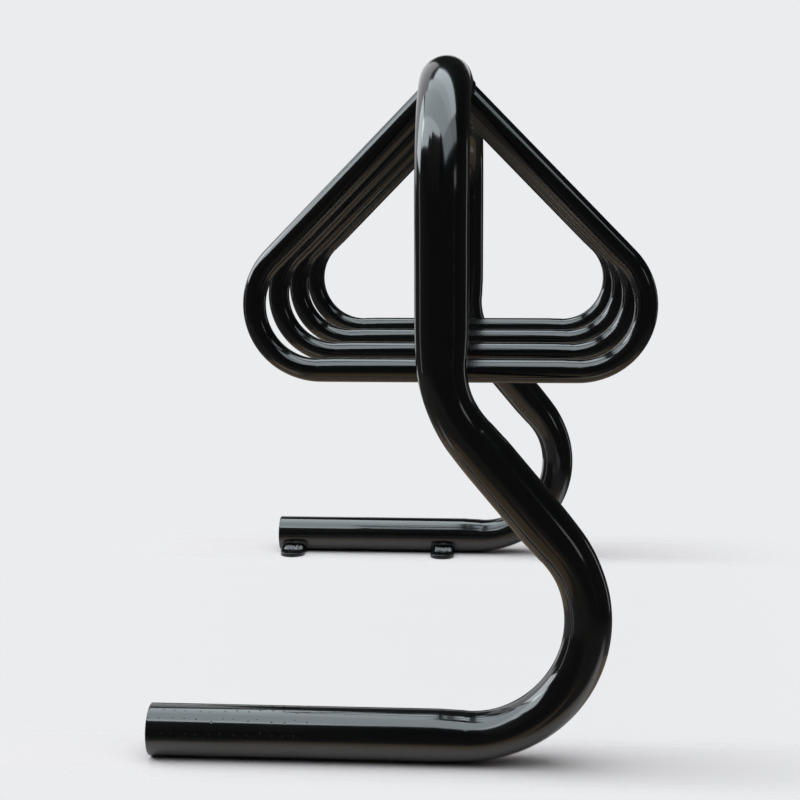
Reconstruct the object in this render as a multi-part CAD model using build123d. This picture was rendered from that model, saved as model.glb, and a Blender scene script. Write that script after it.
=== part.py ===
"""Bicycle rack of bent steel tube.

Two mirrored frame tubes, each with a long foot, a leaning run, an upright and half of the top
rail, meet in a welded seam at the middle of the rail. A row of triangular wheel loops hangs
from the rail, and ears on the feet take the ground anchors.

Millimetres and degrees. +Z is up, Y runs along the rail and X across it. The origin lies on the
ground, below the middle of the rack's bounding box.
"""
from build123d import *
import os
from math import asin, atan2, cos, degrees, hypot, radians, sin, sqrt, tan

# Frame tube
FRAME_TUBE_OD = 60.0
FRAME_TUBE_WALL = 3.0
FRAME_BEND_RADIUS = 136.0  # to the tube's axis
RAIL_TOP_HEIGHT = 800.0  # ground to the top of the rail
LEG_SPACING = 1000.0  # between the two uprights' axes
KNEE_HEIGHT = 460.0  # ground to the lower end of the upright
LEG_LEAN = 40.0  # leaning run, measured from upright
FOOT_REACH = 335.0  # upright's axis to the foot's open end

# Seam at the middle of the rail, over an inner sleeve
SEAM_GAP = 3.0
SEAM_WELD_WIDTH = 9.0
SEAM_WELD_CROWN = 1.2
SLEEVE_LENGTH = 90.0
SLEEVE_WALL = 3.0
SLEEVE_CLEARANCE = 0.2  # each side, inside the frame tube

# Wheel loops
LOOP_COUNT = 4
LOOP_INSET = 200.0  # upright's axis to the nearest loop's axis
LOOP_TUBE_OD = 30.0
LOOP_TUBE_WALL = 2.0
LOOP_BEND_RADIUS = 80.0  # to the tube's axis
LOOP_WIDTH = 510.0  # over the outside of both bends
LOOP_DROP = 346.0  # rail's axis down to the bottom bar's axis
LOOP_AIM_RISE = 10.5  # rail's axis up to where the two sides' axes would cross
LOOP_WELD_LEG = 4.5

# Anchor ears on the inner side of each foot
EAR_WIDTH = 42.0
EAR_REACH = 64.0  # foot's axis to the ear's rounded tip
EAR_THICKNESS = 7.0
EAR_ROOT = 10.0  # foot's axis to the ear's blunt inner edge, below the tube
EAR_HOLE_DIAMETER = 13.0
EAR_TOE_INSET = 27.0  # foot's open end to the first ear's middle
EAR_SPACING = 268.0
EAR_WELD_LEG = 13.0
EAR_WELD_INSET = 2.0  # each end, along the ear's width

# Caps welded inside the open ends of the feet
CAP_THICKNESS = 4.0
CAP_CLEARANCE = 0.2  # each side, inside the frame tube
CAP_WELD_LEG = 3.0  # also the depth of the cap's face inside the end

# Sizes that follow from the driving ones
FRAME_RADIUS = FRAME_TUBE_OD / 2
FRAME_BORE_RADIUS = FRAME_RADIUS - FRAME_TUBE_WALL
LOOP_RADIUS = LOOP_TUBE_OD / 2
RAIL_Z = RAIL_TOP_HEIGHT - FRAME_RADIUS
FOOT_Z = FRAME_RADIUS
LEG_Y = LEG_SPACING / 2
LOOP_PITCH = (LEG_SPACING - 2 * LOOP_INSET) / (LOOP_COUNT - 1)

# Corners of the frame's axis, measured across from the upright
KNEE_CORNER_Z = KNEE_HEIGHT - FRAME_BEND_RADIUS * tan(radians(LEG_LEAN / 2))
HEEL_CORNER_X = (KNEE_CORNER_Z - FOOT_Z) * tan(radians(LEG_LEAN))
HEEL_CENTRE_X = HEEL_CORNER_X - FRAME_BEND_RADIUS * tan(radians(90 + LEG_LEAN) / 2)
HEEL_REACH = HEEL_CENTRE_X + FRAME_BEND_RADIUS + FRAME_RADIUS

# The upright's place across the rack puts the bounding box over the origin
RAIL_X = (max(FOOT_REACH, LOOP_WIDTH / 2) - max(HEEL_REACH, LOOP_WIDTH / 2)) / 2
FOOT_END_X = RAIL_X - FOOT_REACH

# A loop's side leaves its corner bend along the tangent that passes the aim point
LOOP_BAR_Z = RAIL_Z - LOOP_DROP
LOOP_AIM_Z = RAIL_Z + LOOP_AIM_RISE
LOOP_BEND_X = LOOP_WIDTH / 2 - LOOP_RADIUS - LOOP_BEND_RADIUS
LOOP_BEND_BELOW_AIM = LOOP_AIM_Z - LOOP_BAR_Z - LOOP_BEND_RADIUS
LOOP_SLOPE = atan2(LOOP_BEND_BELOW_AIM, LOOP_BEND_X) - asin(
    LOOP_BEND_RADIUS / hypot(LOOP_BEND_X, LOOP_BEND_BELOW_AIM)
)
LOOP_CORNER_X = (LOOP_AIM_Z - LOOP_BAR_Z) / tan(LOOP_SLOPE)

# The side is swept to a point inside the rail, short of the other side, and coped there
SIDE_OFFSET = LOOP_AIM_RISE * cos(LOOP_SLOPE)
SIDE_END_MIN = LOOP_RADIUS - SIDE_OFFSET
SIDE_END_MAX = sqrt(FRAME_RADIUS**2 - (SIDE_OFFSET + LOOP_RADIUS) ** 2)
SIDE_END = LOOP_AIM_RISE * sin(LOOP_SLOPE) + (SIDE_END_MIN + SIDE_END_MAX) / 2
SIDE_END_X = SIDE_END * cos(LOOP_SLOPE)
SIDE_END_Z = LOOP_AIM_Z - SIDE_END * sin(LOOP_SLOPE)

FROM_BASE = (Align.CENTER, Align.CENTER, Align.MIN)


def tube(points, bend_radius, outer_diameter, wall):
    """Hollow tube along straight runs joined by tangent bends."""
    path = FilletPolyline(*points, radius=bend_radius)
    section = Circle(outer_diameter / 2) - Circle(outer_diameter / 2 - wall)
    return sweep(Plane(origin=path @ 0, z_dir=path % 0) * section, path=path)


def rod(radius, start, direction, length):
    """Solid cylinder from a point along a direction."""
    return Plane(origin=start, z_dir=direction) * Cylinder(radius, length, align=FROM_BASE)


def rail_rod(radius):
    """Solid cylinder along the rail's axis, from upright to upright."""
    return rod(radius, (RAIL_X, -LEG_Y, RAIL_Z), (0, 1, 0), LEG_SPACING)


def foot_rod(radius):
    """Solid cylinder along the front foot's straight axis, from the heel's bend to past its open end."""
    start = (RAIL_X + HEEL_CENTRE_X, -LEG_Y, FOOT_Z)
    return rod(radius, start, (-1, 0, 0), HEEL_CENTRE_X + FOOT_REACH + FRAME_TUBE_OD)


def front_frame_tube():
    """Foot, leaning run, upright and front half of the rail, in one bent tube."""
    points = [
        (FOOT_END_X, -LEG_Y, FOOT_Z),
        (RAIL_X + HEEL_CORNER_X, -LEG_Y, FOOT_Z),
        (RAIL_X, -LEG_Y, KNEE_CORNER_Z),
        (RAIL_X, -LEG_Y, RAIL_Z),
        (RAIL_X, -SEAM_GAP / 2, RAIL_Z),
    ]
    return tube(points, FRAME_BEND_RADIUS, FRAME_TUBE_OD, FRAME_TUBE_WALL)


def rail_sleeve():
    """Spigot inside both rail ends, backing the seam weld."""
    outer = FRAME_BORE_RADIUS - SLEEVE_CLEARANCE
    start = (RAIL_X, -SLEEVE_LENGTH / 2, RAIL_Z)
    along = (0, 1, 0)
    return rod(outer, start, along, SLEEVE_LENGTH) - rod(outer - SLEEVE_WALL, start, along, SLEEVE_LENGTH)


def rail_seam_weld():
    """Ring that fills the gap between the rail's halves and crowns over it."""
    gap = SEAM_GAP / 2
    toe = SEAM_WELD_WIDTH / 2
    root = Polyline(
        (FRAME_RADIUS, -toe),
        (FRAME_RADIUS, -gap),
        (FRAME_BORE_RADIUS, -gap),
        (FRAME_BORE_RADIUS, gap),
        (FRAME_RADIUS, gap),
        (FRAME_RADIUS, toe),
    )
    crown = ThreePointArc((FRAME_RADIUS, toe), (FRAME_RADIUS + SEAM_WELD_CROWN, 0), (FRAME_RADIUS, -toe))
    ring = revolve(make_face(root.edges() + crown.edges()), Axis.Y)
    return Pos(RAIL_X, 0, RAIL_Z) * ring


def wheel_loop(y):
    """Triangular loop of one bent tube, both ends coped to the rail."""
    points = [
        (RAIL_X - SIDE_END_X, y, SIDE_END_Z),
        (RAIL_X - LOOP_CORNER_X, y, LOOP_BAR_Z),
        (RAIL_X + LOOP_CORNER_X, y, LOOP_BAR_Z),
        (RAIL_X + SIDE_END_X, y, SIDE_END_Z),
    ]
    return tube(points, LOOP_BEND_RADIUS, LOOP_TUBE_OD, LOOP_TUBE_WALL) - rail_rod(FRAME_RADIUS)


def loop_weld_bead(y, side):
    """Bead round one coped end of a loop. Side is -1 or +1 across the rail."""
    start = (RAIL_X + side * SIDE_END_X, y, SIDE_END_Z)
    down = (side * cos(LOOP_SLOPE), 0, -sin(LOOP_SLOPE))
    collar = rod(LOOP_RADIUS + LOOP_WELD_LEG, start, down, FRAME_TUBE_OD)
    collar = collar & rail_rod(FRAME_RADIUS + LOOP_WELD_LEG)
    return collar - rail_rod(FRAME_RADIUS) - rod(LOOP_RADIUS, start, down, FRAME_TUBE_OD)


def loop_welds(y):
    """Both beads of one loop."""
    return loop_weld_bead(y, -1) + loop_weld_bead(y, 1)


def ear_x(index):
    """Middle of an ear along the front foot, counted from the open end."""
    return FOOT_END_X + EAR_TOE_INSET + index * EAR_SPACING


def front_ear(index):
    """Flat ear under the front foot's inner flank, with a rounded tip and an anchor hole."""
    half = EAR_WIDTH / 2
    hole_y = EAR_REACH - half
    straight = Pos(0, EAR_ROOT) * Rectangle(EAR_WIDTH, hole_y - EAR_ROOT, align=(Align.CENTER, Align.MIN))
    outline = straight + Pos(0, hole_y) * Circle(half)
    outline = outline - Pos(0, hole_y) * Circle(EAR_HOLE_DIAMETER / 2)
    plate = Pos(ear_x(index), -LEG_Y, 0) * extrude(outline, EAR_THICKNESS)
    return plate - foot_rod(FRAME_RADIUS)


def front_ear_weld(index):
    """Bead in the crevice between an ear's top and the foot's flank."""
    length = EAR_WIDTH - 2 * EAR_WELD_INSET
    crevice_y = sqrt(FRAME_RADIUS**2 - (FRAME_RADIUS - EAR_THICKNESS) ** 2)
    start = (ear_x(index) - length / 2, -LEG_Y + crevice_y, EAR_THICKNESS)
    bead = rod(EAR_WELD_LEG, start, (1, 0, 0), length) - foot_rod(FRAME_RADIUS)
    above = Pos(ear_x(index), -LEG_Y + crevice_y, EAR_THICKNESS)
    return bead & above * Box(EAR_WIDTH, 2 * EAR_WELD_LEG, EAR_WELD_LEG, align=FROM_BASE)


def front_foot_cap():
    """Disc set inside the front foot's open end."""
    start = (FOOT_END_X + CAP_WELD_LEG, -LEG_Y, FOOT_Z)
    return rod(FRAME_BORE_RADIUS - CAP_CLEARANCE, start, (1, 0, 0), CAP_THICKNESS)


def front_cap_weld():
    """Fillet between the cap's face and the tube's bore."""
    profile = Polyline(
        (FRAME_BORE_RADIUS, 0),
        (FRAME_BORE_RADIUS, CAP_WELD_LEG),
        (FRAME_BORE_RADIUS - CAP_WELD_LEG, CAP_WELD_LEG),
        close=True,
    )
    ring = revolve(make_face(profile), Axis.Y)
    return Pos(FOOT_END_X, -LEG_Y, FOOT_Z) * Rot(0, 0, -90) * ring


def mirrored_pair(name, solid):
    """The front piece and its mirror image at the rear, by node name."""
    return {f"front_{name}": solid, f"rear_{name}": mirror(solid, about=Plane.XZ)}


def build_nodes():
    """All pieces by node name."""
    nodes = {"rail_sleeve": rail_sleeve(), "rail_seam_weld": rail_seam_weld()}
    nodes |= mirrored_pair("frame_tube", front_frame_tube())
    nodes |= mirrored_pair("foot_cap", front_foot_cap())
    nodes |= mirrored_pair("foot_cap_weld", front_cap_weld())
    for index, place in enumerate(("toe", "heel")):
        nodes |= mirrored_pair(f"{place}_ear", front_ear(index))
        nodes |= mirrored_pair(f"{place}_ear_weld", front_ear_weld(index))
    for index in range(LOOP_COUNT):
        y = -LEG_Y + LOOP_INSET + index * LOOP_PITCH
        nodes[f"wheel_loop_{index + 1}"] = wheel_loop(y)
        nodes[f"wheel_loop_{index + 1}_welds"] = loop_welds(y)
    return nodes


def main():
    os.makedirs("parts", exist_ok=True)
    for name, solid in build_nodes().items():
        export_step(solid, f"parts/{name}.step")
    print(f"loop sides slope {degrees(LOOP_SLOPE):.2f} degrees, pitch {LOOP_PITCH:.1f} mm")


if __name__ == "__main__":
    main()
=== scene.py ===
"""Bicycle rack of bent black steel tube: tube skins, weld beads, anchor ears, paint and studio."""
import logging
from abc import ABC, abstractmethod
from collections import Counter
from contextlib import contextmanager
from dataclasses import dataclass, field
from enum import Enum
from math import acos, asin, atan2, cos, hypot, inf, pi, radians, sin, tan
from typing import Callable, Iterator, Mapping, Sequence, Union

import bmesh
import bpy
import numpy as np
from mathutils import Matrix, Vector


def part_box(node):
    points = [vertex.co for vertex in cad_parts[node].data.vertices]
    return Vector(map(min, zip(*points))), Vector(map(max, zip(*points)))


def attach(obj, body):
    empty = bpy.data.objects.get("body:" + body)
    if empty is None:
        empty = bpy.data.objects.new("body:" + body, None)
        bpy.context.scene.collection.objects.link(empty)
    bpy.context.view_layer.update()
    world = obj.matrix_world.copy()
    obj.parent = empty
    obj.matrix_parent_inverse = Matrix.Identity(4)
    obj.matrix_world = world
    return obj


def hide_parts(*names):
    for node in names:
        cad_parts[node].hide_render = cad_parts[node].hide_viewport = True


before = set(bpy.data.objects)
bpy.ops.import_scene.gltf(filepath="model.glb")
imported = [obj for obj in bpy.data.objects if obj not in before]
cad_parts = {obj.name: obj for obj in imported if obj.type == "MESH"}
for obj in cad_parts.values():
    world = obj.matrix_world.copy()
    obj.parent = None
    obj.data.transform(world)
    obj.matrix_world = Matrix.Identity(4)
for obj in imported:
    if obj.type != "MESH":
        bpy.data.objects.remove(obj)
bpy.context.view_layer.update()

LOG = logging.getLogger("bike_rack")
Array = np.ndarray
Material = bpy.types.Material
Mesh = bpy.types.Mesh
Object = bpy.types.Object
Number = Union[int, float]
Pair = tuple[float, float]
Place = tuple[float, float, float]
Colour = tuple[float, float, float]
Face = tuple[int, ...]
Net = tuple[Array, list[Face]]
MM = 0.001
CREASE = radians(38.0)
ACROSS, ALONG, UP = np.eye(3)


class Named(Enum):
    """Choice whose name goes into the names of pieces and nodes."""

    @property
    def label(self) -> str:
        """The name in lower case."""
        return self.name.lower()


class End(Named):
    """The two mirrored ends of the rack, with the side of its middle that each lies on."""

    FRONT = -1
    REAR = 1


class EarPlace(Named):
    """The two ears of a foot, counted from its open end."""

    TOE = 1
    HEEL = 2


class LoopSide(Named):
    """The two sides of a wheel loop, across the rail."""

    LEFT = -1
    RIGHT = 1


class Ends(Enum):
    """What becomes of the first and the last ring of a net."""

    OPEN = "left open"
    JOINED = "joined to each other"
    LIDS = "closed by a face each"


# Points and meshes


def unit(vector: Array) -> Array:
    """Vectors scaled to length 1, along the last axis."""
    return vector / np.linalg.norm(vector, axis=-1, keepdims=True)


def smooth(value: Array) -> Array:
    """Smooth step from 0 to 1 over the unit range."""
    held = np.clip(value, 0.0, 1.0)
    return held * held * (3.0 - 2.0 * held)


def circle(count: int, first: Array, second: Array) -> Array:
    """Directions evenly round one turn, from the first direction towards the second."""
    angle = np.linspace(0.0, 2 * pi, count, endpoint=False)[:, None]
    return np.cos(angle) * first + np.sin(angle) * second


def uneven(along: Array, seed: int, waves: int = 5, weakest: float = 0.4) -> Array:
    """Slow irregular wave between about -1 and 1, closed over one turn.

    Args:
        along: Place as a share of one turn, 0 to 1.
        seed: Picks the wave, so that no two beads are alike.
        waves: Highest count of swings in one turn.
        weakest: Least weight of a swing.

    Returns:
        The wave at each place.
    """
    draw = np.random.default_rng(seed)
    phases = draw.uniform(0.0, 2 * pi, waves)
    weights = draw.uniform(weakest, 1.0, waves)
    total = sum(w * np.sin(2 * pi * (k + 1) * along + p) for k, (w, p) in enumerate(zip(weights, phases)))
    return total / weights.sum()


def net(rings: Array, ends: Ends, closed: bool = True) -> Net:
    """Joins rings of points in order.

    Args:
        rings: Points by ring and by place in the ring.
        ends: What becomes of the first and the last ring.
        closed: Whether each ring closes on itself.

    Returns:
        The points in one row, and the faces between them.
    """
    count, sides = rings.shape[:2]
    faces = [
        tuple(r % count * sides + s % sides for r, s in ((i, j), (i, j + 1), (i + 1, j + 1), (i + 1, j)))
        for i in range(count if ends is Ends.JOINED else count - 1)
        for j in range(sides if closed else sides - 1)
    ]
    if ends is Ends.LIDS:
        faces += [tuple(range(sides)), tuple(range((count - 1) * sides, count * sides))]
    return rings.reshape(-1, rings.shape[2]), faces


def joined(nets: Sequence[Net]) -> Net:
    """Puts several nets together.

    Args:
        nets: Points and faces of each.

    Returns:
        Points and faces of all.
    """
    faces: list[Face] = []
    start = 0
    for points, net_faces in nets:
        faces += [tuple(i + start for i in face) for face in net_faces]
        start += len(points)
    return np.concatenate([points for points, _ in nets]), faces


@contextmanager
def reworked(mesh: Mesh) -> Iterator[bmesh.types.BMesh]:
    """Lends a mesh for changes, then shades it smooth with sharp creases.

    Args:
        mesh: The mesh.

    Yields:
        Its editable form.
    """
    work = bmesh.new()
    work.from_mesh(mesh)
    yield work
    work.to_mesh(mesh)
    work.free()
    mesh.shade_smooth()
    mesh.set_sharp_from_angle(angle=CREASE)


def smooth_mesh(name: str, points: Array, faces: Sequence[Face]) -> Mesh:
    """Makes a smooth-shaded mesh with outward faces and sharp creases.

    Args:
        name: Mesh name.
        points: Vertices.
        faces: Vertex places of each face.

    Returns:
        The mesh.
    """
    made = bpy.data.meshes.new(name)
    made.from_pydata(points.tolist(), [], faces)
    with reworked(made) as work:
        bmesh.ops.recalc_face_normals(work, faces=work.faces)
    return made


# Shader maths


class Signal:
    """A shader value that takes part in Python expressions, each of which adds a Math node."""

    def __init__(self, graph: "Graph", socket: bpy.types.NodeSocket) -> None:
        """Keeps the socket and the graph that it belongs to."""
        self.graph = graph
        self.socket = socket

    def _math(self, operation: str, first: "Term", second: "Term") -> "Signal":
        """Adds one Math node."""
        return self.graph.node("ShaderNodeMath", {"operation": operation}, {0: first, 1: second})

    def __add__(self, other: "Term") -> "Signal":
        """Sum."""
        return self._math("ADD", self, other)

    __radd__ = __add__

    def __sub__(self, other: "Term") -> "Signal":
        """Difference."""
        return self._math("SUBTRACT", self, other)

    def __rsub__(self, other: "Term") -> "Signal":
        """Difference from a plain number."""
        return self._math("SUBTRACT", other, self)

    def __mul__(self, other: "Term") -> "Signal":
        """Product."""
        return self._math("MULTIPLY", self, other)

    __rmul__ = __mul__

    def __abs__(self) -> "Signal":
        """Size without its sign."""
        return self._math("ABSOLUTE", self, 0.0)

    def angle_over(self, other: "Term") -> "Signal":
        """Angle whose tangent is this value over the other."""
        return self._math("ARCTAN2", self, other)

    def ramp(self, low: float, high: float) -> "Signal":
        """Smooth step over a range of this value, either way round.

        Args:
            low: Value that gives 0.
            high: Value that gives 1.

        Returns:
            The step.
        """
        first, last = (0.0, 1.0) if low < high else (1.0, 0.0)
        limits = {"From Min": min(low, high), "From Max": max(low, high), "To Min": first, "To Max": last}
        settings = {"interpolation_type": "SMOOTHSTEP"}
        return self.graph.node("ShaderNodeMapRange", settings, {"Value": self, **limits})


Term = Union[Signal, Number]


class Graph:
    """The node tree of one material or world."""

    # Places of the Mix node's colour sockets, whose names repeat
    MIX_FIRST, MIX_SECOND, MIX_RESULT = 6, 7, 2

    def __init__(self, tree: bpy.types.NodeTree) -> None:
        """Empties the tree."""
        self.tree = tree
        tree.nodes.clear()

    def node(
        self, kind: str, settings: Mapping[str, object] | None = None,
        sockets: Mapping[Union[str, int], object] | None = None, output: Union[str, int] = 0,
    ) -> Signal:
        """Adds a node.

        Args:
            kind: The node's type.
            settings: Its properties, set before its sockets.
            sockets: Values or signals for its inputs, by name or place.
            output: The output that is handed back.

        Returns:
            The chosen output, or the node's first input where it has no output.
        """
        made = self.tree.nodes.new(kind)
        for name, value in (settings or {}).items():
            setattr(made, name, value)
        for key, value in (sockets or {}).items():
            if isinstance(value, Signal):
                self.tree.links.new(value.socket, made.inputs[key])
            else:
                made.inputs[key].default_value = value
        return Signal(self, made.outputs[output] if made.outputs else made.inputs[0])

    def place(self) -> Signal:
        """Place on the object, in metres."""
        return self.node("ShaderNodeTexCoord", output="Object")

    def axes(self, vector: Signal) -> tuple[Signal, Signal, Signal]:
        """The three parts of a vector."""
        split = self.node("ShaderNodeSeparateXYZ", None, {0: vector})
        return tuple(Signal(self, out) for out in split.socket.node.outputs)

    def noise(self, vector: Signal, scale: float, detail: float, roughness: float) -> Signal:
        """Fractal noise around 0.5."""
        sockets = {"Vector": vector, "Scale": scale, "Detail": detail, "Roughness": roughness}
        return self.node("ShaderNodeTexNoise", None, sockets)

    def cells(self, vector: Signal, scale: float, randomness: float, dimensions: str = "3D") -> Signal:
        """Distance to the nearest of scattered points, in cell widths."""
        sockets = {"Vector": vector, "Scale": scale, "Randomness": randomness}
        return self.node("ShaderNodeTexVoronoi", {"voronoi_dimensions": dimensions}, sockets)

    def blend(self, share: Term, first: Colour, second: Colour) -> Signal:
        """Mix of two colours."""
        sockets = {"Factor": share, self.MIX_FIRST: (*first, 1.0), self.MIX_SECOND: (*second, 1.0)}
        return self.node("ShaderNodeMix", {"data_type": "RGBA"}, sockets, self.MIX_RESULT)

    def bump(self, height: Signal) -> Signal:
        """Normal of a surface whose height is given in metres."""
        return self.node("ShaderNodeBump", None, {"Strength": 1.0, "Distance": 1.0, "Height": height})

    def coat(self, sockets: Mapping[str, object]) -> Signal:
        """Shader of a solid surface."""
        return self.node("ShaderNodeBsdfPrincipled", None, sockets)

    def matt(self, colour: Signal) -> Signal:
        """Shader of a surface without any gloss."""
        return self.coat({"Base Color": colour, "Roughness": 1.0, "Specular IOR Level": 0.0})


# Sizes shared by the pieces


@dataclass(frozen=True)
class Rack:
    """The rack's main sizes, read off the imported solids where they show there."""

    tube_wall: float = 3.0 * MM
    bend_radius: float = 136.0 * MM
    knee_height: float = 460.0 * MM
    lean: float = radians(40.0)

    @property
    def rail_x(self) -> float:
        """Place of the rail and the uprights, across the rack."""
        low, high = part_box("rail_sleeve")
        return (low.x + high.x) / 2

    @property
    def rail_z(self) -> float:
        """Height of the rail's axis."""
        low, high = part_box("rail_sleeve")
        return (low.z + high.z) / 2

    @property
    def rail_middle(self) -> Array:
        """Middle of the rail's axis."""
        return np.array([self.rail_x, 0.0, self.rail_z])

    @property
    def tube_radius(self) -> float:
        """Outer radius of the frame tube."""
        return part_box("front_frame_tube")[1].z - self.rail_z

    @property
    def foot_z(self) -> float:
        """Height of the feet's axes."""
        return self.tube_radius

    @property
    def foot_end_x(self) -> float:
        """Place of the feet's open ends."""
        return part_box("front_frame_tube")[0].x

    def leg_y(self, end: End) -> float:
        """Place of a leg's axis along the rail."""
        low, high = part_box(f"{end.label}_frame_tube")
        return low.y + self.tube_radius if end is End.FRONT else high.y - self.tube_radius

    def seam_y(self, end: End) -> float:
        """Place of a frame tube's end at the rail's middle."""
        low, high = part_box(f"{end.label}_frame_tube")
        return high.y if end is End.FRONT else low.y

    @property
    def knee_corner_z(self) -> float:
        """Height where the axes of the upright and the leaning run would cross."""
        return self.knee_height - self.bend_radius * tan(self.lean / 2)

    @property
    def heel_corner_x(self) -> float:
        """Place where the axes of the leaning run and the foot would cross."""
        return self.rail_x + (self.knee_corner_z - self.foot_z) * tan(self.lean)


# Finishes


class Finish(ABC):
    """A finish that makes its own material."""

    name: str

    @abstractmethod
    def surface(self, graph: Graph) -> Signal:
        """Adds the nodes of the finish and hands back their shader."""

    def material(self) -> Material:
        """Builds the material.

        Returns:
            The material.
        """
        made = bpy.data.materials.new(self.name)
        made.use_nodes = True
        graph = Graph(made.node_tree)
        graph.node("ShaderNodeOutputMaterial", None, {"Surface": self.surface(graph)})
        return made


@dataclass(frozen=True)
class BlackPaint(Finish):
    """Gloss black coat on steel, with its orange peel, nibs, wavy film, a little dust and rows of roll marks.

    Peel, wave, nib and dent are heights. Pairs are the limits between which something sets in: the dirt
    splashed up from the ground, and the roll marks, whose stretch counts from the front foot's open end.
    """

    rack: Rack
    name: str = "gloss_black_paint"
    black: Colour = (0.0042, 0.0042, 0.0046)
    dust: Colour = (0.085, 0.078, 0.066)
    gloss: float = 0.08
    index: float = 1.9
    peel: float = 0.0022 * MM
    wave: float = 0.06 * MM
    nib: float = 0.05 * MM
    settled: float = 0.05
    splashed: float = 0.16
    splash_z: Pair = (0.05, 0.004)
    motes: float = 0.12
    dent: float = 0.32 * MM
    dent_pitch: float = 14.0 * MM
    dent_stretch: Pair = (0.24, 0.17)
    dent_y: Pair = (-0.4, -0.45)
    dent_z: Pair = (0.12, 0.08)

    def surface(self, graph: Graph) -> Signal:
        """Coat with its dust and its unevenness.

        Args:
            graph: The material's node tree.

        Returns:
            The shader.
        """
        place = graph.place()
        height_above_ground = graph.axes(place)[2]
        facing_up = graph.axes(graph.node("ShaderNodeNewGeometry", output="Normal"))[2]
        cloud = graph.noise(place, scale=9.0, detail=4.0, roughness=0.6)
        fine = graph.noise(place, scale=160.0, detail=3.0, roughness=0.6)
        grain = graph.noise(place, scale=900.0, detail=2.0, roughness=0.6)
        settled = facing_up.ramp(0.25, 1.0) * cloud.ramp(0.42, 0.75) * (0.35 + 0.65 * fine.ramp(0.4, 0.62))
        splash = height_above_ground.ramp(*self.splash_z) * cloud.ramp(0.3, 0.7) * fine.ramp(0.42, 0.6)
        motes = graph.cells(place, scale=210.0, randomness=1.0).ramp(0.16, 0.07) * cloud.ramp(0.5, 0.7)
        soil = settled * self.settled + splash * self.splashed + motes * self.motes
        height = (
            graph.noise(place, scale=520.0, detail=1.0, roughness=0.4) * self.peel
            + graph.noise(place, scale=26.0, detail=1.0, roughness=0.4) * self.wave
            + graph.cells(place, scale=38.0, randomness=1.0).ramp(0.055, 0.0) * self.nib
            - self._roll_marks(graph, place) * self.dent
        )
        return graph.coat({
            "Base Color": graph.blend(soil, self.black, self.dust),
            "Roughness": self.gloss + 0.05 * cloud.ramp(0.35, 0.75) + 0.03 * grain + 0.9 * soil,
            "IOR": self.index,
            "Normal": graph.bump(height),
        })

    def _roll_marks(self, graph: Graph, place: Signal) -> Signal:
        """Small marks in rows along and around the front foot, fading out towards the heel.

        Args:
            graph: The material's node tree.
            place: Place on the rack.

        Returns:
            1 in the marks and 0 beside them.
        """
        rack = self.rack
        x, y, z = graph.axes(place)
        around = (z - rack.foot_z).angle_over(y - rack.leg_y(End.FRONT)) * rack.tube_radius
        flat = {0: x * (1 / self.dent_pitch), 1: around * (1 / self.dent_pitch)}
        rows = graph.node("ShaderNodeCombineXYZ", None, flat)
        spots = graph.cells(rows, scale=1.0, randomness=0.35, dimensions="2D").ramp(0.1, 0.02)
        stretch = x.ramp(*(rack.foot_end_x + reach for reach in self.dent_stretch))
        return spots * stretch * y.ramp(*self.dent_y) * z.ramp(*self.dent_z)


@dataclass(frozen=True)
class BareSteel(Finish):
    """Drawn steel tube with fine lines along its length and a little rust bloom."""

    name: str = "bare_drawn_steel"
    bright: Colour = (0.50, 0.51, 0.53)
    dull: Colour = (0.33, 0.31, 0.29)
    gloss: float = 0.34
    stretch: Place = (900.0, 12.0, 900.0)
    line_depth: float = 0.01 * MM

    def surface(self, graph: Graph) -> Signal:
        """Steel with its lines and bloom.

        Args:
            graph: The material's node tree.

        Returns:
            The shader.
        """
        place = graph.place()
        drawn = graph.node("ShaderNodeVectorMath", {"operation": "MULTIPLY"}, {0: place, 1: self.stretch})
        lines = graph.noise(drawn, scale=1.0, detail=3.0, roughness=0.6)
        bloom = graph.noise(place, scale=45.0, detail=4.0, roughness=0.65).ramp(0.52, 0.75)
        return graph.coat({
            "Base Color": graph.blend(0.25 * lines + 0.6 * bloom, self.bright, self.dull),
            "Roughness": self.gloss + 0.12 * lines + 0.25 * bloom,
            "Metallic": 1.0 - 0.3 * bloom,
            "Normal": graph.bump(lines * self.line_depth),
        })


@dataclass(frozen=True)
class PaleFloor(Finish):
    """Plain pale floor that is solid around the feet and fades out away from them, so that no edge shows.

    Pairs are the limits of the fading beside the rack, behind it, before it and between its feet, where the
    thinning is the share that is lost.
    """

    name: str = "pale_floor"
    colour: Colour = (0.79, 0.705, 0.69)
    shade: float = 0.985
    beside: Pair = (0.35, 0.7)
    behind: Pair = (0.52, 0.68)
    before: Pair = (-0.51, -0.60)
    between: Pair = (0.49, 0.40)
    thinning: float = 0.92

    def surface(self, graph: Graph) -> Signal:
        """Matt floor, mixed with clear air where it fades.

        Args:
            graph: The material's node tree.

        Returns:
            The shader.
        """
        place = graph.place()
        x, y, _ = graph.axes(place)
        ends = (1 - y.ramp(*self.behind)) * (1 - y.ramp(*self.before))
        between = 1 - abs(y).ramp(*self.between) * self.thinning
        share = 1 - (1 - abs(x).ramp(*self.beside)) * ends * between
        grain = graph.noise(place, scale=3.0, detail=3.0, roughness=0.5)
        solid = graph.matt(graph.blend(grain, self.colour, tuple(self.shade * c for c in self.colour)))
        clear = graph.node("ShaderNodeBsdfTransparent")
        return graph.node("ShaderNodeMixShader", None, {0: share, 1: solid, 2: clear})


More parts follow.
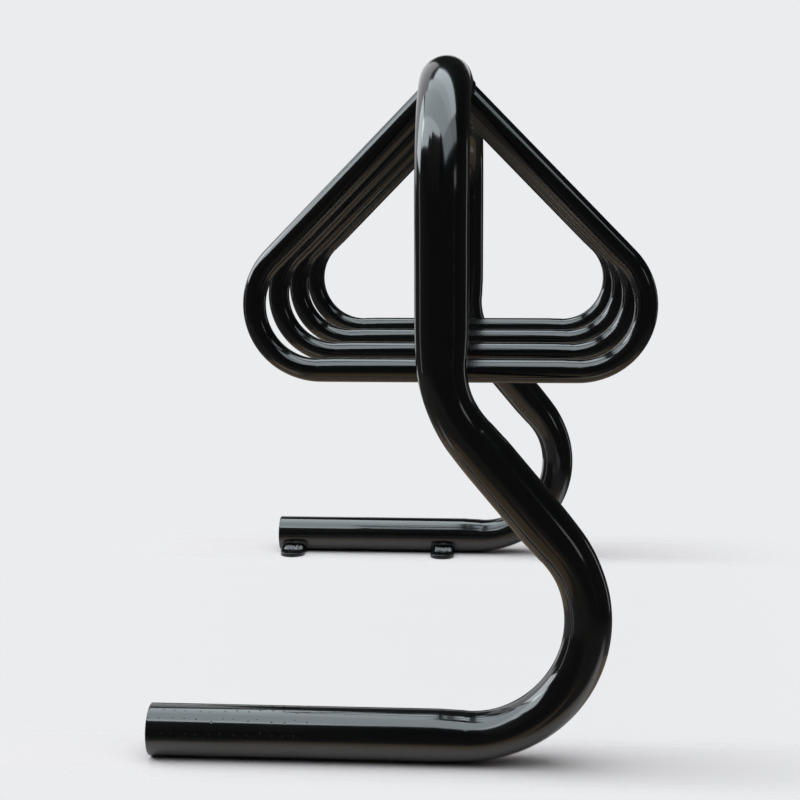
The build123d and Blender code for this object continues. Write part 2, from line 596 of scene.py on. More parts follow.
@dataclass(frozen=True)
class StudioCloth(Finish):
    """Dull cloth of the studio, with the shade of soft folds painted into its colour: the painted folds are
    darker than what lies between them.
    """

    name: str
    colour: Colour
    # Painted light: how much lighter the cloth is painted between its folds than in them.
    painted_light_gain: float = 2.2

    def surface(self, graph: Graph) -> Signal:
        """Matt cloth, with painted fold shade and painted light between the folds."""
        painted_fold_light = graph.noise(graph.place(), scale=1.3, detail=3.0, roughness=0.6)
        # Painted shade and light of folds that the flat cloth does not have.
        return graph.matt(graph.blend(painted_fold_light, self.colour, tuple(self.painted_light_gain * c for c in self.colour)))


# Tube axes and skins


@dataclass(frozen=True)
class Steps:
    """Distances between the samples along a tube's axis.

    They are fine along the bends and beside them, coarse along the rest of the runs, and closest at the ends
    of bends, where the bending die leaves its marks. The last step of a stretch may be longer.
    """

    fine: float
    coarse: float
    closest: float = 1.0 * MM
    end_reach: float = 6.0 * MM
    side_reach: float = 48.0 * MM
    last: float = 1.5

    def marks(self, length: float, before: bool, after: bool, rest: float) -> list[float]:
        """Places along a stretch, closest together at the ends of bends.

        Args:
            length: Length of the stretch.
            before: Whether a bend's end lies at the start.
            after: Whether a bend's end lies at the stop.
            rest: Step away from the ends of bends.

        Returns:
            The places, from 0 to the length.
        """
        zones = ((self.end_reach, self.closest), (self.side_reach, self.fine))
        marks = [0.0]
        while marks[-1] < length:
            here = marks[-1]
            gap = min(here if before else inf, length - here if after else inf)
            step = next((size for reach, size in zones if gap < reach), rest)
            marks.append(length if here + self.last * step > length else here + step)
        return marks


Sample = tuple[Array, Array, Array, float]


@dataclass
class Route:
    """Sampled axis of a bent tube.

    Attributes:
        points: Places along the axis.
        tangents: Directions along the axis.
        inward: Directions to the nearest bend's centre.
        depth: Distance past the nearest end of that bend, negative on the runs.
        uprights: First cross direction of each section, carried along without twist.
    """

    points: Array
    tangents: Array
    inward: Array
    depth: Array
    uprights: Array = field(init=False)

    def __post_init__(self) -> None:
        """Carries the first cross direction along the axis."""
        current = self.inward[0]
        carried = []
        for tangent in self.tangents:
            current = unit(current - tangent * (current @ tangent))
            carried.append(current)
        self.uprights = np.array(carried)

    @classmethod
    def through(cls, corners: Sequence[Sequence[float]], radius: float, steps: Steps) -> "Route":
        """Samples straight runs joined by tangent bends.

        Args:
            corners: Ends and corners of the axis.
            radius: Radius of the bends.
            steps: Distances between the samples.

        Returns:
            The sampled axis.
        """
        stops = [np.array(corner, float) for corner in corners]
        samples: list[Sample] = []
        start, before = stops[0], None
        for past, corner, ahead in zip(stops, stops[1:], stops[2:]):
            into, out = unit(corner - past), unit(ahead - corner)
            turn = acos(into @ out)
            inward = unit(out - into * (out @ into))
            bend = corner - into * radius * tan(turn / 2)
            samples += cls._run(start, bend, before, inward, steps)
            for mark in steps.marks(turn * radius, True, True, steps.fine):
                angle = mark / radius
                point = bend + radius * (sin(angle) * into + (1 - cos(angle)) * inward)
                tangent = cos(angle) * into + sin(angle) * inward
                toward = cos(angle) * inward - sin(angle) * into
                samples.append((point, tangent, toward, radius * min(angle, turn - angle)))
            start, before = samples[-1][0], samples[-1][2]
        samples += cls._run(start, stops[-1], before, None, steps)
        return cls(*(np.array(column) for column in zip(*samples)))

    @staticmethod
    def _run(
        start: Array, stop: Array, before: Array | None, after: Array | None, steps: Steps
    ) -> list[Sample]:
        """Samples a straight run, without the ends that it shares with bends.

        Args:
            start: Start of the run.
            stop: End of the run.
            before: Direction to the centre of the bend before it, if any.
            after: Direction to the centre of the bend after it, if any.
            steps: Distances between the samples.

        Returns:
            The samples.
        """
        length = float(np.linalg.norm(stop - start))
        tangent = unit(stop - start)
        marks = steps.marks(length, before is not None, after is not None, steps.coarse)
        samples = []
        for mark in marks[0 if before is None else 1:None if after is None else -1]:
            gap_before = inf if before is None else mark
            gap_after = inf if after is None else length - mark
            inward = before if gap_before < gap_after else after
            samples.append((start + tangent * mark, tangent, inward, -min(gap_before, gap_after)))
        return samples


@dataclass(frozen=True)
class TubeSkin:
    """Both surfaces of a hollow tube along a route, drawn in where the bends have flattened it.

    Attributes:
        flattening: Share of the diameter lost across the plane of a bend.
        lead: Length before a bend over which the flattening sets in.
        settle: Length inside a bend over which it becomes full.
        die_depth: Depth of the two steps that the bending die leaves inside a bend and before it.
        die_length: Length of each step.
        die_lead: Distance from the first step to the bend.
        sides: Count of faces round the tube.
        ease: Size of the rounding at square-cut ends.
        lip: Rings of that rounding, from the rim inwards, as sizes across the wall and along the tube.
    """

    flattening: float
    lead: float
    settle: float
    die_depth: float
    die_length: float
    die_lead: float
    sides: int
    ease: float = 0.7 * MM
    lip: tuple[Pair, ...] = ((1.0, 0.0), (0.3, 0.3), (0.0, 1.0), (0.0, 3.0))

    def rings(self, route: Route, radius: float) -> Array:
        """Points of the sections at one radius.

        Args:
            route: The tube's axis.
            radius: Nominal radius of the surface.

        Returns:
            Points by section and by side.
        """
        across = np.cross(route.tangents, route.uprights)
        spokes = circle(self.sides, route.uprights[:, None], across[:, None])
        lean_in = np.einsum("nsk,nk->ns", spokes, route.inward)
        share = smooth((route.depth + self.lead) / (self.lead + self.settle))
        squeeze = radius * self.flattening * share[:, None] * lean_in
        presses = smooth(route.depth / self.die_length + 0.5)
        presses = presses + smooth((route.depth + self.die_lead) / self.die_length + 0.5)
        step = self.die_depth / 2 * presses[:, None] * np.clip(lean_in, 0.0, 1.0) ** 2
        skin = radius * spokes - squeeze[..., None] * route.inward[:, None] - step[..., None] * spokes
        return route.points[:, None] + skin

    def mesh(
        self, name: str, route: Route, radius: float, wall: float,
        trim: Callable[[Array, Array], Array] | None = None,
    ) -> Mesh:
        """Closed mesh of the tube.

        Args:
            name: Mesh name.
            route: The tube's axis.
            radius: Outer radius.
            wall: Wall thickness.
            trim: Reshapes a surface's ends, given the tangents. Without it they are cut square and rounded.

        Returns:
            The mesh.
        """
        outer, inner = self.rings(route, radius), self.rings(route, radius - wall)
        if trim is not None:
            outer, inner = trim(outer, route.tangents), trim(inner, route.tangents)
        else:
            outer, inner = self._eased(outer, route, -self.ease), self._eased(inner, route, self.ease)
        return smooth_mesh(name, *net(np.concatenate([outer, inner[::-1]]), Ends.JOINED))

    def _eased(self, rings: Array, route: Route, widening: float) -> Array:
        """Rounds the tube's square-cut ends.

        Args:
            rings: Points of one surface.
            route: The tube's axis.
            widening: How much wider the surface becomes at its ends, negative for narrower.

        Returns:
            The surface with more rings at each end.
        """
        lips = []
        for place, way in ((0, 1), (-1, -1)):
            along = way * self.ease * route.tangents[place]
            spokes = widening * unit(rings[place] - route.points[place])
            lip = np.array([rings[place] + wide * spokes + deep * along for wide, deep in self.lip])
            lips.append(lip[::way])
        return np.concatenate([lips[0], rings[1:-1], lips[1]])


# Weld beads


@dataclass(frozen=True)
class Bead:
    """Weld bead laid along a line, with its ripples.

    Attributes:
        crown: Height of the bead above the straight line between its toes.
        pitch: Distance from ripple to ripple.
        ripple: Height of the ripples.
        drift: Unevenness of the bead's width, as a share.
        wander: Unevenness of the ripples' spacing, as a share.
        bow: How far a ripple's middle lies ahead of its ends, in ripples.
        keenness: Sharpness of the ripples' crests.
        trough: Share of a ripple that lies below the bead's crown.
        taper: Bluntness of an open bead's ends, down to the stub.
    """

    crown: float
    pitch: float
    ripple: float
    drift: float
    wander: float = 0.04 / 3
    wander_seed: int = 7
    bow: float = 0.45
    keenness: float = 1.6
    trough: float = 0.4
    taper: int = 8
    stub: float = 0.02
    across: int = 11

    def net(
        self, root: Array, toe_a: Array, toe_b: Array, out: Array, seed: int, ends: Ends = Ends.JOINED
    ) -> Net:
        """Points and faces of the bead.

        Args:
            root: Line at the bottom of the joint.
            toe_a: Line of the bead's edge on the first surface.
            toe_b: Line of the bead's edge on the second surface.
            out: Directions out of the joint.
            seed: Picks the bead's unevenness.
            ends: Whether the line closes on itself. A bead with lids tapers at both ends.

        Returns:
            Points and faces.
        """
        steps = np.linalg.norm(np.roll(root, -1, axis=0) - root, axis=1)
        along = np.concatenate([[0.0], np.cumsum(steps)[:-1]])
        total = steps.sum() if ends is Ends.JOINED else along[-1]
        turn = along / total
        ripples = round(total / self.pitch)
        width = 1.0 - self.drift * (0.5 + 0.5 * uneven(turn, seed))
        if ends is Ends.LIDS:
            width = width * np.sqrt(np.clip(1.0 - (2.0 * turn - 1.0) ** self.taper, self.stub, 1.0))
        width = width[:, None]
        share = np.linspace(0.0, 1.0, self.across)
        hump = 4.0 * share * (1.0 - share)
        spacing = turn + self.wander * uneven(turn, seed + self.wander_seed)
        phase = ripples * spacing[:, None] + self.bow * hump
        scale = (0.5 + 0.5 * np.cos(2 * pi * phase)) ** self.keenness - self.trough
        lift = np.maximum(self.crown * hump * width + self.ripple * scale * np.sqrt(hump), 0.0)
        edge_a, edge_b = ((root + (toe - root) * width)[:, None] for toe in (toe_a, toe_b))
        skin = edge_a * (1 - share)[:, None] + edge_b * share[:, None] + lift[..., None] * out[:, None]
        return net(np.concatenate([skin, root[:, None]], axis=1), ends)


# Sub-assemblies


@dataclass
class PaintedSteel(ABC):
    """Sub-assembly of painted pieces, each of which stands for one solid."""

    rack: Rack
    paint: Material

    @abstractmethod
    def build(self) -> list[Object]:
        """Makes the pieces."""

    def add(self, mesh: Mesh, node: str) -> Object:
        """Paints a mesh and adds it to the scene in place of its solid.

        Args:
            mesh: The piece's mesh, in the rack's frame and with the piece's name.
            node: The solid that it stands for.

        Returns:
            The piece.
        """
        piece = bpy.data.objects.new(mesh.name, mesh)
        bpy.context.scene.collection.objects.link(piece)
        mesh.materials.append(self.paint)
        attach(piece, "root")
        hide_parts(node)
        return piece


@dataclass
class FrameTubes(PaintedSteel):
    """The two bent frame tubes and the weld ring where they meet at the rail's middle."""

    skin: TubeSkin = TubeSkin(
        flattening=0.10, lead=36.0 * MM, settle=50.0 * MM,
        die_depth=0.6 * MM, die_length=5.0 * MM, die_lead=24.0 * MM, sides=72,
    )
    steps: Steps = Steps(fine=4.0 * MM, coarse=16.0 * MM)
    seam: Bead = Bead(crown=0.864 * MM, pitch=3.4 * MM, ripple=0.28 * MM, drift=0.2)
    seam_width: float = 9.0 * MM
    seam_points: int = 480
    seam_seed: int = 3

    def build(self) -> list[Object]:
        """Makes both tubes and the seam weld."""
        return [*map(self._tube, End), self._seam()]

    def _tube(self, end: End) -> Object:
        """Makes one frame tube.

        Args:
            end: The end that it stands at.

        Returns:
            The piece.
        """
        rack, y = self.rack, self.rack.leg_y(end)
        corners = [
            (rack.foot_end_x, y, rack.foot_z),
            (rack.heel_corner_x, y, rack.foot_z),
            (rack.rail_x, y, rack.knee_corner_z),
            (rack.rail_x, y, rack.rail_z),
            (rack.rail_x, rack.seam_y(end), rack.rail_z),
        ]
        route = Route.through(corners, rack.bend_radius, self.steps)
        mesh = self.skin.mesh(f"{end.label}_leg_and_rail", route, rack.tube_radius, rack.tube_wall)
        return self.add(mesh, f"{end.label}_frame_tube")

    def _seam(self) -> Object:
        """Makes the weld ring round the rail's middle.

        Returns:
            The piece.
        """
        rack = self.rack
        out = circle(self.seam_points, ACROSS, UP)
        half = self.seam_width / 2 * ALONG
        shell = rack.rail_middle + out * rack.tube_radius
        root = rack.rail_middle + out * (rack.tube_radius - rack.tube_wall)
        ring = self.seam.net(root, shell - half, shell + half, out, self.seam_seed)
        return self.add(smooth_mesh("rail_seam_bead", *ring), "rail_seam_weld")


@dataclass
class WheelLoops(PaintedSteel):
    """The triangular wheel loops, coped to the rail, with a bead round each end.

    The axes of a loop's two sides would cross above the rail's axis by the aim's rise, and the last whole
    section of each side is clear of that place.
    """

    count: int = 4
    wall: float = 2.0 * MM
    bend_radius: float = 80.0 * MM
    aim_rise: float = 10.5 * MM
    clear: float = 42.0 * MM
    skin: TubeSkin = TubeSkin(
        flattening=0.03, lead=16.0 * MM, settle=34.0 * MM,
        die_depth=0.7 * MM, die_length=4.0 * MM, die_lead=15.0 * MM, sides=56,
    )
    steps: Steps = Steps(fine=3.0 * MM, coarse=14.0 * MM)
    bead: Bead = Bead(crown=0.75 * MM, pitch=3.1 * MM, ripple=0.42 * MM, drift=0.22)
    bead_points: int = 300
    weld_leg: float = 4.275 * MM
    weld_root: float = 0.4 * MM

    def build(self) -> list[Object]:
        """Makes every loop and its beads."""
        return [piece for number in range(1, self.count + 1) for piece in self._loop(number)]

    def _loop(self, number: int) -> list[Object]:
        """Makes one loop and its two beads.

        Args:
            number: The loop's number, from the front.

        Returns:
            The tube and the beads.
        """
        rack, node = self.rack, f"wheel_loop_{number}"
        low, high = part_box(node)
        radius = (high.y - low.y) / 2
        aim = np.array([rack.rail_x, (low.y + high.y) / 2, rack.rail_z + self.aim_rise])
        drop = aim[2] - low.z - radius
        bend_x = (high.x - low.x) / 2 - radius - self.bend_radius
        bend_z = drop - self.bend_radius
        slope = atan2(bend_z, bend_x) - asin(self.bend_radius / hypot(bend_x, bend_z))
        left, right = (np.array([side.value * cos(slope), 0.0, -sin(slope)]) for side in LoopSide)
        reach = drop / sin(slope)
        corners = [aim + left * self.clear, aim + left * reach, aim + right * reach, aim + right * self.clear]
        route = Route.through(corners, self.bend_radius, self.steps)
        tube = self.skin.mesh(f"loop_tube_{number}", route, radius, self.wall, self._cope)
        beads = [
            self._bead(aim, down, radius, seed=10 * number + side.value)
            for side, down in zip(LoopSide, (left, right))
        ]
        bead_mesh = smooth_mesh(f"loop_beads_{number}", *joined(beads))
        return [self.add(tube, node), self.add(bead_mesh, f"{node}_welds")]

    def _to_rail(self, points: Array, direction: Array) -> Array:
        """Moves points along a direction, onto the rail's surface.

        Args:
            points: Points outside the rail.
            direction: Direction towards the rail, square to its length.

        Returns:
            The points on the rail.
        """
        flat = (points - self.rack.rail_middle) * (ACROSS + UP)
        half = flat @ direction
        reach = -half - np.sqrt(half**2 - (flat**2).sum(axis=1) + self.rack.tube_radius**2)
        return points + reach[:, None] * direction

    def _cope(self, rings: Array, tangents: Array) -> Array:
        """Adds an end ring on the rail at both ends of a surface."""
        first, last = self._to_rail(rings[0], -tangents[0]), self._to_rail(rings[-1], tangents[-1])
        return np.concatenate([first[None], rings, last[None]])

    def _bead(self, aim: Array, down: Array, radius: float, seed: int) -> Net:
        """Bead round one coped end.

        Args:
            aim: Place where the axes of the loop's two sides would cross.
            down: Direction down the loop's side.
            radius: Outer radius of the loop's tube.
            seed: Picks the bead's unevenness.

        Returns:
            Points and faces.
        """
        rack = self.rack
        section = ACROSS + UP
        cross = np.sign(down[0]) * np.cross(down, ALONG)
        spokes = circle(self.bead_points, cross, ALONG)
        joint = self._to_rail(aim + down * self.clear + radius * spokes, -down)
        normal = unit((joint - rack.rail_middle) * section)
        away = unit(spokes - (spokes * normal).sum(axis=1, keepdims=True) * normal)
        toe_loop = joint + down * self.weld_leg
        toe_rail = joint + away * self.weld_leg
        spread = (toe_rail - rack.rail_middle) * section
        toe_rail = toe_rail - spread + unit(spread) * rack.tube_radius
        out = unit(spokes + normal)
        return self.bead.net(joint - out * self.weld_root, toe_loop, toe_rail, out, seed)


@dataclass
class AnchorEars(PaintedSteel):
    """The flat ears under the feet's inner flanks, with the bead above each.

    Attributes:
        hole_rings: Rings of the net round the hole, as shares of the way from its edge to the rim.
        seat: Distance from the hole's middle to the rim's straight side.
        rows: Rows of the net between that side and the foot, as distances from the side.
        crevice_z: Height of the foot's flank above the next row.
        inner_rows: Rows under the foot, as distances from its axis.
        weld_reach: Size of the bead on the ear.
        weld_rise: Size of the bead on the foot's flank.
        weld_root: Distances of its root behind the joint and below it.
    """

    hole_radius: float = 6.5 * MM
    hole_rings: tuple[float, ...] = (0.0, 0.12, 0.5, 1.0)
    seat: float = 13.0 * MM
    columns: int = 13
    tip_points: int = 25
    edge_points: int = 4
    rows: Pair = (4.0 * MM, 8.0 * MM)
    crevice_z: float = 7.0 * MM
    inner_rows: tuple[float, ...] = (17.0 * MM, 15.0 * MM, 12.5 * MM, 10.0 * MM)
    ease: float = 1.0 * MM
    ease_steps: int = 3
    edge_angle: float = radians(55.0)
    bead: Bead = Bead(crown=0.15 * MM, pitch=6.0 * MM, ripple=0.28 * MM, drift=0.22)
    bead_points: int = 150
    weld_inset: float = 2.0 * MM
    weld_reach: float = 14.69 * MM
    weld_rise: float = 8.06 * MM
    weld_root: Pair = (0.6 * MM, 0.4 * MM)

    def build(self) -> list[Object]:
        """Makes every ear and its bead."""
        return [piece for end in End for place in EarPlace for piece in self._ear(end, place)]

    def _ear(self, end: End, place: EarPlace) -> list[Object]:
        """Makes one ear and its bead.

        Args:
            end: The end of the rack.
            place: Which ear of the foot.

        Returns:
            The ear and the bead.
        """
        node = f"{end.label}_{place.label}_ear"
        low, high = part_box(node)
        half = (high.x - low.x) / 2
        leg_y = self.rack.leg_y(end)
        foot = np.array([(low.x + high.x) / 2, leg_y, 0.0])
        inner = -end.value * ALONG
        tip = high.y - leg_y if end is End.FRONT else leg_y - low.y
        flat, quads = self._outline(half, tip - half)
        lower = foot + flat[:, :1] * ACROSS + flat[:, 1:] * inner
        upper = lower + self._top(flat[:, 1:], high.z) * UP
        plate = self._solid(f"{node}_plate", np.concatenate([upper, lower]), quads)
        bead = smooth_mesh(f"{node}_bead", *self._bead(foot, inner, half, high.z))
        return [self.add(plate, node), self.add(bead, f"{node}_weld")]

    def _outline(self, half: float, hole: float) -> Net:
        """Flat net of the ear.

        Args:
            half: Half of the ear's width.
            hole: Distance from the foot's axis to the hole's middle.

        Returns:
            Points as (across, reach), and the net's faces.
        """
        seat = hole - self.seat
        columns = np.linspace(-half, half, self.columns)
        edge = np.linspace(hole, seat, self.edge_points)[1:-1]
        rim = [(half * cos(t), hole + half * sin(t)) for t in np.linspace(0.0, pi, self.tip_points)]
        rim += [(-half, reach) for reach in edge]
        seat_row = len(rim)
        rim += [(across, seat) for across in columns]
        rim += [(half, reach) for reach in edge[::-1]]
        middle = np.array([0.0, hole])
        spokes = np.array(rim) - middle
        away = np.linalg.norm(spokes, axis=1, keepdims=True)
        sizes = [self.hole_radius + (away - self.hole_radius) * share for share in self.hole_rings]
        points, quads = net(np.array([middle + spokes * size / away for size in sizes]), Ends.OPEN)
        reaches = [*(seat - row for row in self.rows), self._crevice(self.crevice_z), *self.inner_rows]
        starts = [len(points) - len(rim) + seat_row]
        starts += [len(points) + k * self.columns for k in range(len(reaches))]
        quads += [
            (a + i, a + i + 1, b + i + 1, b + i)
            for a, b in zip(starts, starts[1:])
            for i in range(self.columns - 1)
        ]
        return np.concatenate([points, [(across, reach) for reach in reaches for across in columns]]), quads

    def _crevice(self, height: float) -> float:
        """Distance from the foot's axis to where its flank has a height above the ground."""
        radius = self.rack.tube_radius
        return (radius**2 - (radius - height) ** 2) ** 0.5

    def _top(self, reach: Array, thickness: float) -> Array:
        """Height of the ear's upper face, under the foot too."""
        radius = self.rack.tube_radius
        return np.minimum(thickness, radius - np.sqrt(radius**2 - np.minimum(reach, radius) ** 2))

    def _solid(self, name: str, points: Array, quads: list[Face]) -> Mesh:
        """Closes the upper and lower nets with walls and eases the edges.

        Args:
            name: Mesh name.
            points: Upper points, then as many lower ones.
            quads: Faces of the upper net.

        Returns:
            The mesh.
        """
        below = len(points) // 2
        uses = Counter(tuple(sorted(edge)) for face in quads for edge in zip(face, face[1:] + face[:1]))
        faces = quads + [tuple(i + below for i in face[::-1]) for face in quads]
        faces += [(a, b, b + below, a + below) for (a, b), count in uses.items() if count == 1]
        mesh = smooth_mesh(name, points, faces)
        with reworked(mesh) as work:
            edges = [edge for edge in work.edges if len(edge.link_faces) == 2]
            sharp = [edge for edge in edges if edge.calc_face_angle() > self.edge_angle]
            bmesh.ops.bevel(
                work, geom=sharp, offset=self.ease, segments=self.ease_steps, profile=0.5, affect="EDGES",
                clamp_overlap=True,
            )
        return mesh

    def _bead(self, foot: Array, inner: Array, half: float, top: float) -> Net:
        """Bead between the foot's flank and the ear's upper face.

        Args:
            foot: Place on the ground below the foot's axis, in the middle of the ear.
            inner: Direction from the foot to the ear.
            half: Half of the ear's width.
            top: Height of the ear's upper face.

        Returns:
            Points and faces.
        """
        reach = half - self.weld_inset
        line = foot + np.linspace(-reach, reach, self.bead_points)[:, None] * ACROSS
        crevice = self._crevice(top)
        back, sunk = self.weld_root
        flank_z = top + self.weld_rise
        root = line + (crevice - back) * inner + (top - sunk) * UP
        plate = line + (crevice + self.weld_reach) * inner + top * UP
        flank = line + self._crevice(flank_z) * inner + flank_z * UP
        out = np.tile(unit(inner + UP), (self.bead_points, 1))
        seed = int(abs(foot[0]) * 1000)
        return self.bead.net(root, plate, flank, out, seed, Ends.LIDS)


@dataclass
class FootCaps(PaintedSteel):
    """The discs inside the feet's open ends, with the fillet weld round each.

    The face and the rings are shares of the disc's radius, and the weld's share is of the solid weld's size.
    """

    crown: float = 0.4 * MM
    face: float = 0.94
    face_rings: tuple[float, ...] = (0.12, 0.35, 0.6, 0.82, 1.0)
    back_rings: Pair = (0.6, 0.12)
    ease: float = 0.6 * MM
    sides: int = 96
    bead: Bead = Bead(crown=0.25 * MM, pitch=3.0 * MM, ripple=0.3 * MM, drift=0.2)
    bead_points: int = 420
    weld_share: float = 0.95
    weld_lift: float = 0.7
    weld_seed: int = 40

    def build(self) -> list[Object]:
        """Makes both caps and their welds."""
        return [piece for end in End for piece in (self._cap(end), self._weld(end))]

    def _axis(self, end: End, x: float) -> Array:
        """Place on a foot's axis."""
        return np.array([x, self.rack.leg_y(end), self.rack.foot_z])

    def _cap(self, end: End) -> Object:
        """Makes one disc, slightly crowned, with eased edges.

        Args:
            end: The end of the rack.

        Returns:
            The piece.
        """
        node = f"{end.label}_foot_cap"
        low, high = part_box(node)
        radius = (high.y - low.y) / 2
        profile = [(low.x + self.crown * s * s, radius * s * self.face) for s in self.face_rings]
        profile += [(low.x + self.ease, radius), (high.x - self.ease, radius), (high.x, radius - self.ease)]
        profile += [(high.x, radius * s) for s in self.back_rings]
        spokes = circle(self.sides, ALONG, UP)
        rings = np.array([self._axis(end, x) + r * spokes for x, r in profile])
        return self.add(smooth_mesh(f"{end.label}_foot_disc", *net(rings, Ends.LIDS)), node)

    def _weld(self, end: End) -> Object:
        """Makes the fillet between one disc and its tube.

        Args:
            end: The end of the rack.

        Returns:
            The piece.
        """
        node = f"{end.label}_foot_cap_weld"
        low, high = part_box(node)
        spokes = circle(self.bead_points, ALONG, UP)
        leg = (high.x - low.x) * self.weld_share
        root = self._axis(end, high.x) + spokes * (high.y - low.y) / 2
        lift = self.weld_lift * (-ACROSS - spokes)
        ring = self.bead.net(root, root - ACROSS * leg, root - spokes * leg, lift, self.weld_seed + end.value)
        return self.add(smooth_mesh(f"{end.label}_foot_disc_bead", *ring), node)


@dataclass
class RailSleeve:
    """The sleeve inside the rail, which keeps its solid and takes a bare steel finish."""

    steel: Material

    def dress(self) -> Object:
        """Puts the finish on the sleeve's solid.

        Returns:
            The sleeve.
        """
        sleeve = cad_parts["rail_sleeve"]
        sleeve.data.materials.clear()
        sleeve.data.materials.append(self.steel)
        return sleeve


# Studio


@dataclass(frozen=True)
class Panel:
    """One flat soft lamp: its middle, where it faces, its size both ways, its brightness and its colour."""

    place: Place
    facing: Place
    size: Pair
    radiance: float
    colour: Colour = (0.88, 1.0, 1.05)


FACING_DOWN = (0.0065, 0.0076, -1.0)
FACING_IN = (-0.455, 0.386, -0.803)


class Lamp(Named):
    """Soft lamps that adjoin as one folded panel."""

    OVERHEAD_BACK = Panel((1.72, 2.02, 10.0), FACING_DOWN, (12.6, 3.3), 2.9)
    OVERHEAD_MIDDLE = Panel((-1.03, 0.87, 10.0), FACING_DOWN, (15.3, 2.0), 2.5)
    OVERHEAD = Panel((-4.12, -1.23, 10.0), FACING_DOWN, (17.3, 5.2), 2.15)
    LEFT = Panel((-8.74, -2.95, 8.58), (0.415, 0.490, -0.766), (17.5, 4.44), 3.1, (0.9, 1.0, 1.05))
    LEFT_LOW = Panel((-12.2, 4.55, 6.4), (0.856, -0.320, -0.407), (6.5, 6.5), 3.4, (0.92, 1.0, 1.04))
    RIGHT = Panel((7.10, -3.92, 8.78), FACING_IN, (3.6, 4.11), 1.15)
    FRONT = Panel((3.80, -7.81, 8.78), FACING_IN, (6.6, 4.11), 1.4, (0.84, 1.0, 1.06))


FULL_TURN = (0.0, 360.0)
FRONT_SWEEP = (257.0, 284.0)
GROUND_RIM = (1.85, -0.8)
FRONT_RIM = (3.3, -1.04)
GROUND_BAND = ((1.42, -0.79), (1.86, -0.79))
WALL_FOOT = (13.5, -2.7)
WALL_TOP = (18.0, 18.0)
WALL = (WALL_FOOT, (16.5, -2.2), WALL_TOP)


class Flag(Named):
    """Cloths that only show in the paint: profile as (radius, height), and sweep in degrees from +X."""

    GROUND = (((0.02, -0.8), GROUND_RIM), FULL_TURN)
    GROUND_FRONT = ((GROUND_RIM, FRONT_RIM), FRONT_SWEEP)
    UNDER_FRONT = ((FRONT_RIM, WALL_FOOT), FRONT_SWEEP)
    UNDER_ROUND = ((GROUND_RIM, WALL_FOOT), (284.0, 617.0))
    UNDER_LEFT = (GROUND_BAND, (165.0, 216.0))
    UNDER_RIGHT = (GROUND_BAND, (284.0, 335.0))
    LID = ((WALL_TOP, (0.02, 18.9)), FULL_TURN)
    RIGHT_SLIT_TOP = (((17.1, 4.4), WALL_TOP), (36.0, 41.0))
    BEHIND_RIGHT = (WALL, (41.0, 77.0))
    BEHIND_LOW = ((WALL_FOOT, (17.0, 3.4)), (77.0, 96.0))
    BACK_LOW = ((WALL_FOOT, (17.0, 1.9)), (96.0, 108.0))
    BEHIND_HIGH = (((17.3, 5.9), WALL_TOP), (77.0, 103.0))
    BACK_LEFT_LOW = ((WALL_FOOT, (17.0, 1.5)), (130.0, 145.0))
    LEFT = (WALL, (145.0, 168.0))
    LEFT_SLIT_TOP = (((17.0, 3.1), WALL_TOP), (168.0, 172.0))
    ROUND = (WALL, (172.0, 323.0))
    WINDOW_LOW = ((WALL_FOOT, (17.0, 3.9)), (323.0, 331.0))
    WINDOW_HIGH = (((17.3, 7.4), WALL_TOP), (323.0, 331.0))
    RIGHT = (WALL, (331.0, 396.0))
    NOTCH = (((5.4, 1.5), (5.0, 4.95)), (211.0, 222.0))
    NOTCH_HIGH = (((5.4, 1.5), (5.0, 6.0)), (222.0, 262.0))


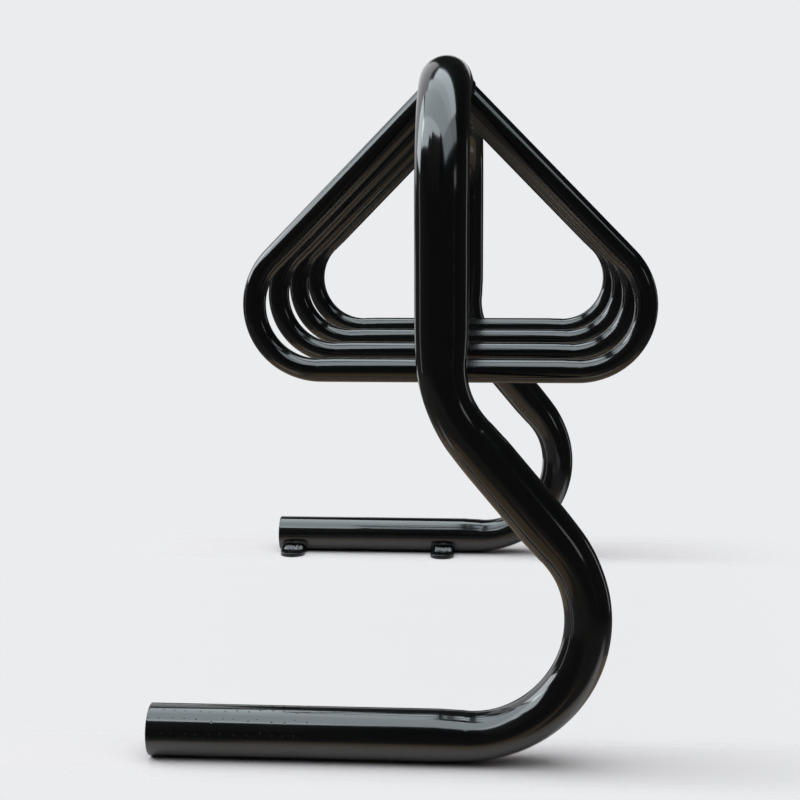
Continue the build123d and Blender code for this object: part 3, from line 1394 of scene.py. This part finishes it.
@dataclass
class Studio:
    """Pale floor, pale surroundings, soft lamps, cloths that shape the reflections, and the camera.

    The camera's turns are in radians, and its focal length is in pixels of the picture.
    """

    backdrop: Colour = (0.831, 0.839, 0.855)
    dark: Colour = (0.050, 0.045, 0.041)
    brown: Colour = (0.19, 0.127, 0.076)
    floor: tuple[Pair, Pair] = ((0.001, 0.0), (1.4, 0.0))
    spun_points: int = 97
    view_from: Place = (0.1095, -2.1150, 0.6402)
    yaw: float = 0.0713
    pitch: float = 0.1384
    roll: float = -0.0033
    focal_pixels: float = 1481.4
    picture_pixels: float = 800.0
    sensor: float = 36.0

    def build(self) -> None:
        """Makes the surroundings, the floor, the flags, the lamps and the camera."""
        self._world()
        self._spun("studio_floor", self.floor, FULL_TURN, PaleFloor().material())
        self._flags()
        for lamp in Lamp:
            self._lamp(lamp)
        self._camera()
        bpy.context.scene.view_settings.view_transform = "Standard"

    def _world(self) -> None:
        """Makes the pale surroundings."""
        world = bpy.data.worlds.new("pale_surroundings")
        bpy.context.scene.world = world
        world.use_nodes = True
        graph = Graph(world.node_tree)
        pale = graph.node("ShaderNodeBackground", None, {"Color": (*self.backdrop, 1.0), "Strength": 1.0})
        graph.node("ShaderNodeOutputWorld", None, {"Surface": pale})

    def _spun(self, name: str, profile: Sequence[Pair], sweep: Pair, finish: Material) -> Object:
        """Makes a stage piece spun round the upright axis.

        Args:
            name: Piece name.
            profile: Places as (radius, height).
            sweep: First and last angle in degrees, from the +X side.
            finish: Its material.

        Returns:
            The piece.
        """
        angle = np.radians(np.linspace(*sweep, self.spun_points))[:, None]
        spokes = np.cos(angle) * ACROSS + np.sin(angle) * ALONG
        points, faces = net(np.array([r * spokes + z * UP for r, z in profile]), Ends.OPEN, closed=False)
        mesh = bpy.data.meshes.new(name)
        mesh.from_pydata(points.tolist(), [], faces)
        mesh.shade_smooth()
        mesh.materials.append(finish)
        piece = bpy.data.objects.new(name, mesh)
        bpy.context.scene.collection.objects.link(piece)
        return piece

    def _flags(self) -> None:
        """Hangs dark cloth around the rack, with narrow gaps, and lays brown cloth below it."""
        dark = StudioCloth("flag_cloth", self.dark).material()
        brown = StudioCloth("ground_cloth", self.brown).material()
        for flag in Flag:
            finish = brown if flag in (Flag.GROUND, Flag.GROUND_FRONT) else dark
            self._spun(f"flag_{flag.label}", *flag.value, finish).visible_camera = False

    def _lamp(self, lamp: Lamp) -> None:
        """Adds one soft lamp.

        Args:
            lamp: The lamp.
        """
        panel = lamp.value
        light = bpy.data.lights.new(lamp.label, "AREA")
        light.shape = "RECTANGLE"
        light.size, light.size_y = panel.size
        light.energy = panel.radiance * pi * panel.size[0] * panel.size[1]
        light.color = panel.colour
        holder = bpy.data.objects.new(lamp.label, light)
        turn = Vector(panel.facing).to_track_quat("-Z", "Y").to_matrix().to_4x4()
        holder.matrix_world = Matrix.Translation(panel.place) @ turn
        holder.visible_camera = False
        bpy.context.scene.collection.objects.link(holder)

    def _camera(self) -> None:
        """Adds the camera at the photograph's angle."""
        level = cos(self.pitch)
        ahead = Vector((-sin(self.yaw) * level, cos(self.yaw) * level, -sin(self.pitch)))
        right = Vector((cos(self.yaw), sin(self.yaw), 0.0))
        up = right.cross(ahead)
        side = cos(self.roll) * right + sin(self.roll) * up
        crown = -sin(self.roll) * right + cos(self.roll) * up
        lens = bpy.data.cameras.new("front_view")
        lens.sensor_width = self.sensor
        lens.lens = self.focal_pixels / self.picture_pixels * self.sensor
        camera = bpy.data.objects.new("front_view", lens)
        turn = Matrix((side, crown, -ahead)).transposed().to_4x4()
        camera.matrix_world = Matrix.Translation(self.view_from) @ turn
        bpy.context.scene.collection.objects.link(camera)
        bpy.context.scene.camera = camera


def main() -> None:
    """Builds and dresses the rack, then its studio."""
    logging.basicConfig(level=logging.INFO, format="%(name)s: %(message)s")
    rack = Rack()
    paint = BlackPaint(rack).material()
    parts = [kind(rack, paint) for kind in (FrameTubes, WheelLoops, AnchorEars, FootCaps)]
    pieces = [piece for part in parts for piece in part.build()]
    pieces.append(RailSleeve(BareSteel().material()).dress())
    for piece in pieces:
        LOG.info("piece %s: %d vertices", piece.name, len(piece.data.vertices))
    Studio().build()


if __name__ == "__main__":
    main()
